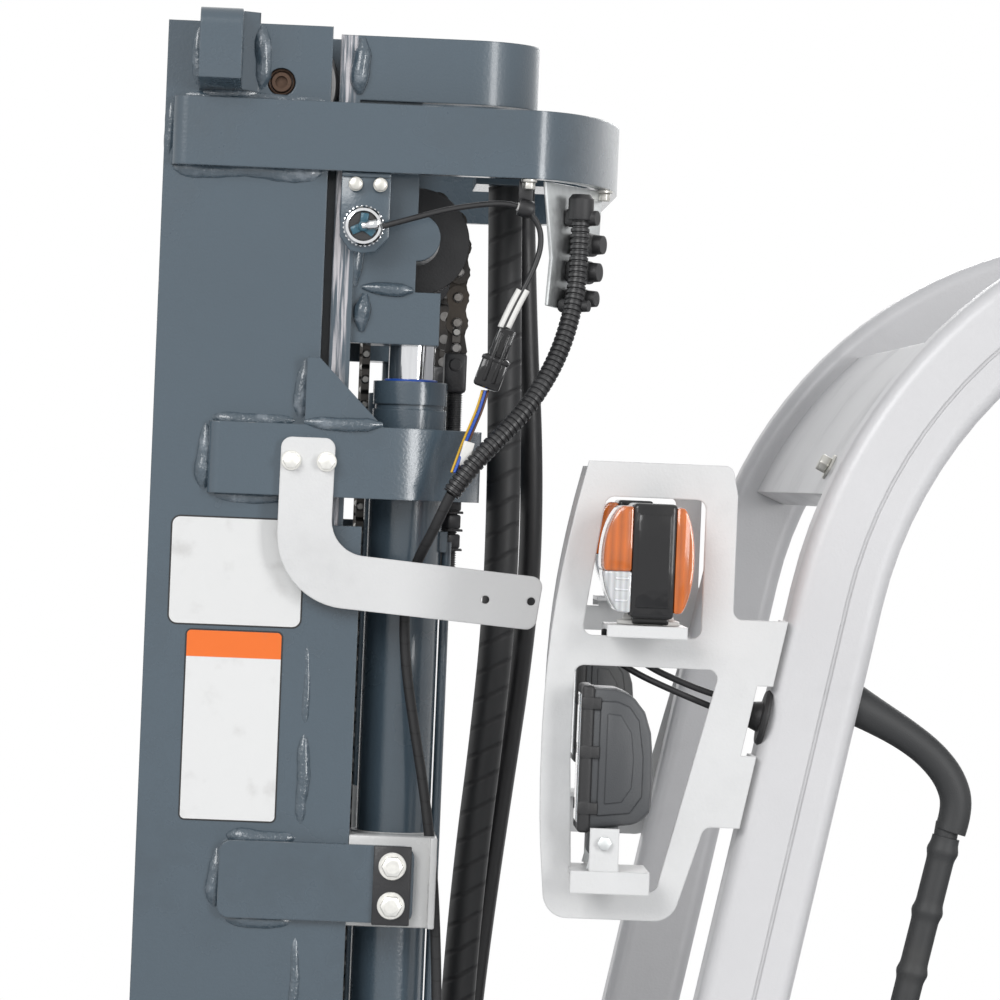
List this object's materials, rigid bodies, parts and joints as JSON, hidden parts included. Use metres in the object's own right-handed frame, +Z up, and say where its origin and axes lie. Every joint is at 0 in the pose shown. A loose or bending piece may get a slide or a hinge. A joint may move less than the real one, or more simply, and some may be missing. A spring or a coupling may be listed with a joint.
{
  "type": "electric forklift",
  "caption": "Electric counterbalance forklift with a tilting two-stage mast, sliding forks, overhead guard, steered rear wheels and a seat on the battery hood",
  "frame": {"origin": "on the floor, at the middle of the overall length and width", "axes": "+X forward along the forks, +Y to the driver's left, +Z up"},
  "size_m": [3.42, 1.21, 2.1589],
  "materials": {
    "mast_paint": "satin",
    "rail_steel": "rolled",
    "chrome_rod": "polished",
    "dark_steel": "satin",
    "plated_steel": "zinc plated",
    "silver_paint": "satin",
    "white_paint": "satin",
    "graphite_paint": "satin",
    "weight_paint": "painted casting",
    "hood_paint": "satin",
    "black_plastic": "moulded",
    "battery_case": "moulded",
    "red_plastic": "moulded",
    "tyre_rubber": "moulded",
    "hose_rubber": "wrapped",
    "seat_cover": "grained vinyl",
    "cast_housing": "painted"
  },
  "bodies": {
    "chassis": {"chassis_frame": "graphite_paint", "counterweight": "weight_paint", "battery": "battery_case", "front_cowl": "black_plastic", "steering_column": "black_plastic", "overhead_guard": "silver_paint", "drive_axle": "cast_housing", "traction_motor": "cast_housing", "pump_unit": "cast_housing", "lamp_brackets": "white_paint", "indicator_lamps": "black_plastic", "grab_handle": "black_plastic"},
    "hood": {"battery_hood": "hood_paint"},
    "seat": {"seat_frame": "black_plastic", "seat_cushion": "seat_cover", "seat_back_cushion": "seat_cover"},
    "tow_pin": {"tow_pin": "plated_steel"},
    "steer_axle": {"steer_axle": "graphite_paint"},
    "steering_wheel": {"steering_wheel": "black_plastic"},
    "horn_button": {"horn_button": "black_plastic"},
    "direction_lever": {"direction_lever": "black_plastic"},
    "accelerator": {"accelerator_pedal": "dark_steel"},
    "brake": {"brake_pedal": "dark_steel"},
    "lift_lever": {"lift_lever": "black_plastic"},
    "tilt_lever": {"tilt_lever": "black_plastic"},
    "emergency_stop": {"emergency_stop": "red_plastic"},
    "work_lamp_left": {"work_lamp_left": "black_plastic"},
    "work_lamp_right": {"work_lamp_right": "black_plastic"},
    "outer_mast": {"outer_mast": "mast_paint", "j_bracket": "white_paint", "lift_cylinder_barrels": "mast_paint", "chain_anchors": "plated_steel", "height_sensor": "plated_steel", "harness_fittings": "black_plastic", "sensor_cable": "hose_rubber", "sensor_conduit": "hose_rubber", "mast_hoses": "hose_rubber", "mast_fasteners": "plated_steel"},
    "mast_rollers": {"outer_mast_rollers": "rail_steel"},
    "inner_mast": {"inner_mast": "rail_steel", "lift_cylinder_rods": "chrome_rod", "rear_chain_runs": "rail_steel", "front_chain_runs": "rail_steel"},
    "sheaves": {"chain_sheaves": "dark_steel"},
    "carriage": {"fork_carriage": "dark_steel", "load_backrest": "dark_steel"},
    "fork_left": {"fork_left": "dark_steel"},
    "fork_right": {"fork_right": "dark_steel"},
    "tilt_barrels": {"tilt_cylinder_barrels": "dark_steel"},
    "tilt_rods": {"tilt_cylinder_rods": "chrome_rod"},
    "front_wheel_left": {"front_wheel_left": "silver_paint", "front_tyre_left": "tyre_rubber"},
    "knuckle_left": {"steer_knuckle_left": "cast_housing"},
    "rear_wheel_left": {"rear_wheel_left": "silver_paint", "rear_tyre_left": "tyre_rubber"},
    "front_wheel_right": {"front_wheel_right": "silver_paint", "front_tyre_right": "tyre_rubber"},
    "knuckle_right": {"steer_knuckle_right": "cast_housing"},
    "rear_wheel_right": {"rear_wheel_right": "silver_paint", "rear_tyre_right": "tyre_rubber"}
  },
  "joints": [
    {"name": "mast_tilt", "type": "hinge", "parent": "chassis", "child": "outer_mast", "pos_m": [0.17, 0, 0.292], "axis": [0, 1, 0], "range_deg": [-8, 6]},
    {"name": "tilt_barrel_swing", "type": "hinge", "parent": "chassis", "child": "tilt_barrels", "pos_m": [-0.24, 0, 0.4], "axis": [0, 1, 0], "range_deg": [-2, 2]},
    {"name": "tilt_rod_stroke", "type": "slide", "parent": "tilt_barrels", "child": "tilt_rods", "axis": [0.9864, 0, 0.1644], "range_m": [-0.03, 0.03]},
    {"name": "mast_lift", "type": "slide", "parent": "outer_mast", "child": "inner_mast", "axis": [0, 0, 1], "range_m": [0, 1.45], "deforming": ["rear_chain_runs"]},
    {"name": "carriage_lift", "type": "slide", "parent": "inner_mast", "child": "carriage", "axis": [0, 0, 1], "range_m": [0, 1.45], "deforming": ["front_chain_runs"]},
    {"name": "sheave_turn", "type": "hinge", "parent": "inner_mast", "child": "sheaves", "pos_m": [0.2815, 0, 1.975], "axis": [0, 1, 0], "range_deg": [-2140, 0]},
    {"name": "mast_roller_turn", "type": "hinge", "parent": "outer_mast", "child": "mast_rollers", "pos_m": [0.4025, 0, 2.101], "axis": [0, 1, 0], "range_deg": [0, 1700]},
    {"name": "fork_left_shift", "type": "slide", "parent": "carriage", "child": "fork_left", "axis": [0, 1, 0], "range_m": [-0.15, 0.15]},
    {"name": "fork_right_shift", "type": "slide", "parent": "carriage", "child": "fork_right", "axis": [0, 1, 0], "range_m": [-0.15, 0.15]},
    {"name": "steer_axle_rock", "type": "hinge", "parent": "chassis", "child": "steer_axle", "pos_m": [-1.33, 0, 0.3085], "axis": [1, 0, 0], "range_deg": [-2, 2]},
    {"name": "steering_turn", "type": "hinge", "parent": "chassis", "child": "steering_wheel", "pos_m": [-0.12, 0, 1.15], "axis": [-0.342, 0, 0.9397], "range_deg": [-905, 905]},
    {"name": "horn_press", "type": "slide", "parent": "steering_wheel", "child": "horn_button", "axis": [0.342, 0, -0.9397], "range_m": [0, 0.003], "stiffness_N_per_m": 1500, "springref_m": -0.003},
    {"name": "direction_select", "type": "hinge", "parent": "chassis", "child": "direction_lever", "pos_m": [-0.12, 0, 1.15], "axis": [-0.342, 0, 0.9397], "range_deg": [-12, 12]},
    {"name": "accelerator_press", "type": "hinge", "parent": "chassis", "child": "accelerator", "pos_m": [-0.04, -0.22, 0.531], "axis": [0, 1, 0], "range_deg": [0, 12], "stiffness_Nm_per_rad": 10, "springref_deg": -17.19},
    {"name": "brake_press", "type": "hinge", "parent": "chassis", "child": "brake", "pos_m": [-0.04, -0.105, 0.531], "axis": [0, 1, 0], "range_deg": [0, 12], "stiffness_Nm_per_rad": 20, "springref_deg": -17.19},
    {"name": "lift_lever_pull", "type": "hinge", "parent": "chassis", "child": "lift_lever", "pos_m": [0.008, -0.2, 1.064], "axis": [0, 1, 0], "range_deg": [-15, 15], "stiffness_Nm_per_rad": 3},
    {"name": "tilt_lever_pull", "type": "hinge", "parent": "chassis", "child": "tilt_lever", "pos_m": [0.008, -0.26, 1.064], "axis": [0, 1, 0], "range_deg": [-15, 15], "stiffness_Nm_per_rad": 3},
    {"name": "stop_press", "type": "slide", "parent": "chassis", "child": "emergency_stop", "axis": [0, 0, -1], "range_m": [0, 0.006], "stiffness_N_per_m": 1500, "springref_m": -0.005},
    {"name": "work_lamp_left_tilt", "type": "hinge", "parent": "chassis", "child": "work_lamp_left", "pos_m": [0.112, 0.502, 1.4775], "axis": [0, 1, 0], "range_deg": [-15, 0]},
    {"name": "work_lamp_right_tilt", "type": "hinge", "parent": "chassis", "child": "work_lamp_right", "pos_m": [0.065, -0.502, 1.4775], "axis": [0, 1, 0], "range_deg": [-15, 0]},
    {"name": "hood_lift", "type": "hinge", "parent": "chassis", "child": "hood", "pos_m": [-0.999, 0, 0.905], "axis": [0, -1, 0], "range_deg": [0, 60]},
    {"name": "seat_adjust", "type": "slide", "parent": "hood", "child": "seat", "axis": [1, 0, 0], "range_m": [-0.07, 0.07]},
    {"name": "tow_pin_lift", "type": "slide", "parent": "chassis", "child": "tow_pin", "axis": [0, 0, 1], "range_m": [0, 0.2]},
    {"name": "front_wheel_left_spin", "type": "hinge", "parent": "chassis", "child": "front_wheel_left", "pos_m": [0.17, 0.5, 0.292], "axis": [0, 1, 0], "continuous": true},
    {"name": "steer_left", "type": "hinge", "parent": "steer_axle", "child": "knuckle_left", "pos_m": [-1.33, 0.37, 0.2285], "axis": [0, 0, 1], "range_deg": [-75, 75]},
    {"name": "rear_wheel_left_spin", "type": "hinge", "parent": "knuckle_left", "child": "rear_wheel_left", "pos_m": [-1.33, 0.495, 0.2285], "axis": [0, 1, 0], "continuous": true},
    {"name": "front_wheel_right_spin", "type": "hinge", "parent": "chassis", "child": "front_wheel_right", "pos_m": [0.17, -0.5, 0.292], "axis": [0, 1, 0], "continuous": true},
    {"name": "steer_right", "type": "hinge", "parent": "steer_axle", "child": "knuckle_right", "pos_m": [-1.33, -0.37, 0.2285], "axis": [0, 0, 1], "range_deg": [-75, 75]},
    {"name": "rear_wheel_right_spin", "type": "hinge", "parent": "knuckle_right", "child": "rear_wheel_right", "pos_m": [-1.33, -0.495, 0.2285], "axis": [0, 1, 0], "continuous": true}
  ],
  "couplings": [
    {"joint": "tilt_barrel_swing", "follows": "mast_tilt", "ratio": 0.09},
    {"joint": "tilt_rod_stroke", "follows": "mast_tilt", "m_per_rad": 0.174},
    {"joint": "carriage_lift", "follows": "mast_lift", "ratio": 1},
    {"joint": "sheave_turn", "follows": "mast_lift", "rad_per_m": -25.641},
    {"joint": "mast_roller_turn", "follows": "mast_lift", "rad_per_m": 20.408},
    {"joint": "steer_right", "follows": "steer_left", "ratio": 1},
    {"joint": "steering_turn", "follows": "steer_left", "ratio": -12}
  ]
}
